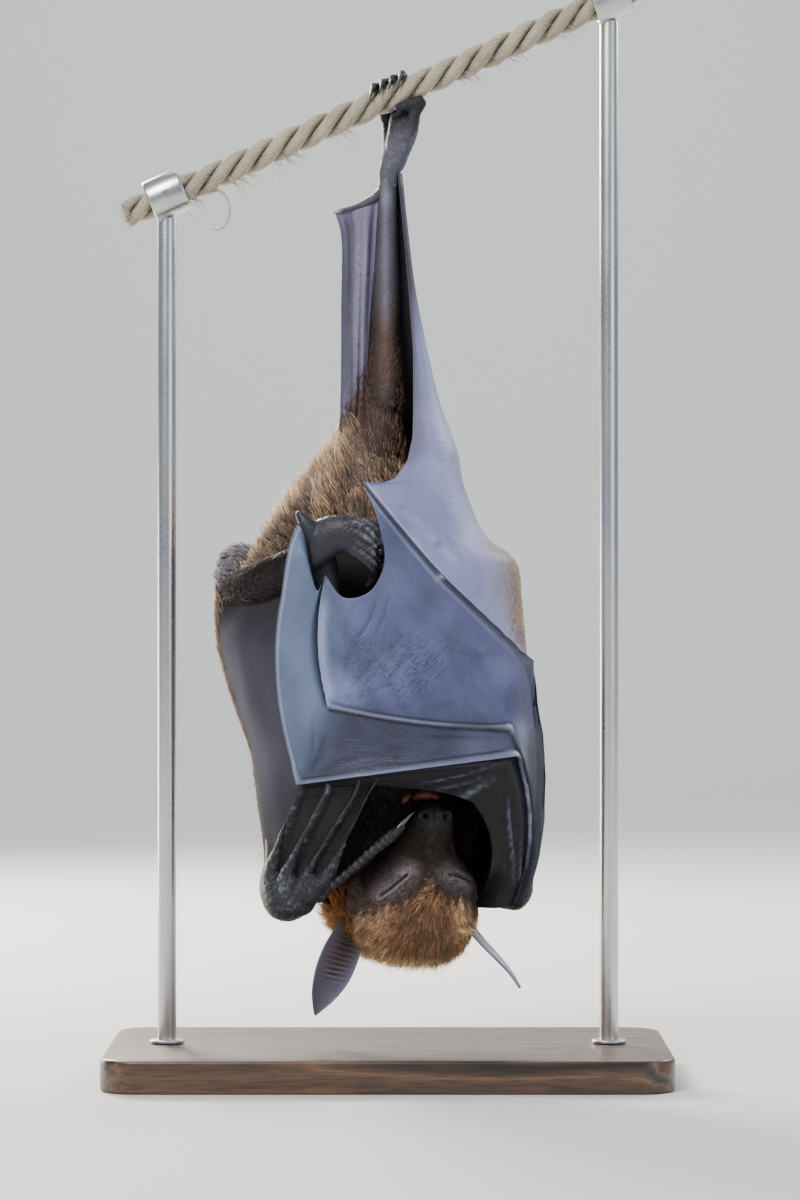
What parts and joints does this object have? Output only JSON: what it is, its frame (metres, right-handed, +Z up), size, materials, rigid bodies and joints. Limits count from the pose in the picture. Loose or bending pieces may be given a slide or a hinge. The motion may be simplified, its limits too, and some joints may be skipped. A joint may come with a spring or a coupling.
{
  "type": "sleeping flying fox model on a stand",
  "caption": "Life-size still model of a flying fox asleep, hanging head down by one foot from a short rope between the rods of a plain stand, wings folded round its body.",
  "frame": {"origin": "middle of the underside of the stand's base", "axes": "+Z up, -Y the way the bat's belly and face turn, +X the bat's right side"},
  "size_m": [0.24, 0.14, 0.4756],
  "materials": {
    "base_wood": "satin lacquered dark walnut",
    "steel": "brushed",
    "rope": "laid natural fibre, weathered and frayed",
    "membrane": "thin bare wing skin with fine wrinkles and a soft sheen",
    "bare_skin": "bare dark skin of feet, fingers, ears and thumbs",
    "body_fur": "brown fur with pale tips",
    "crown_fur": "orange-brown fur of crown and nape"
  },
  "bodies": {
    "root": {"stand_base": "base_wood", "stand_rod_left": "steel", "stand_rod_right": "steel", "stand_collar_left": "steel", "stand_collar_right": "steel", "perch_rope": "rope", "foot_right": "bare_skin", "shank_right": "body_fur", "thigh_right": "body_fur", "foot_left": "bare_skin", "shank_left": "body_fur", "thigh_left": "body_fur", "tail_membrane": "membrane", "trunk": "body_fur", "neck": "crown_fur", "head": "crown_fur", "ear_left": "bare_skin", "ear_right": "bare_skin", "upper_arm_left": "body_fur", "upper_arm_right": "body_fur", "forearm_left": "bare_skin", "forearm_right": "bare_skin", "thumb_left": "bare_skin", "thumb_right": "bare_skin", "wing_right_hand": "membrane", "wing_right_arm": "membrane", "wing_left_hand": "membrane", "wing_left_arm": "membrane"}
  },
  "joints": []
}
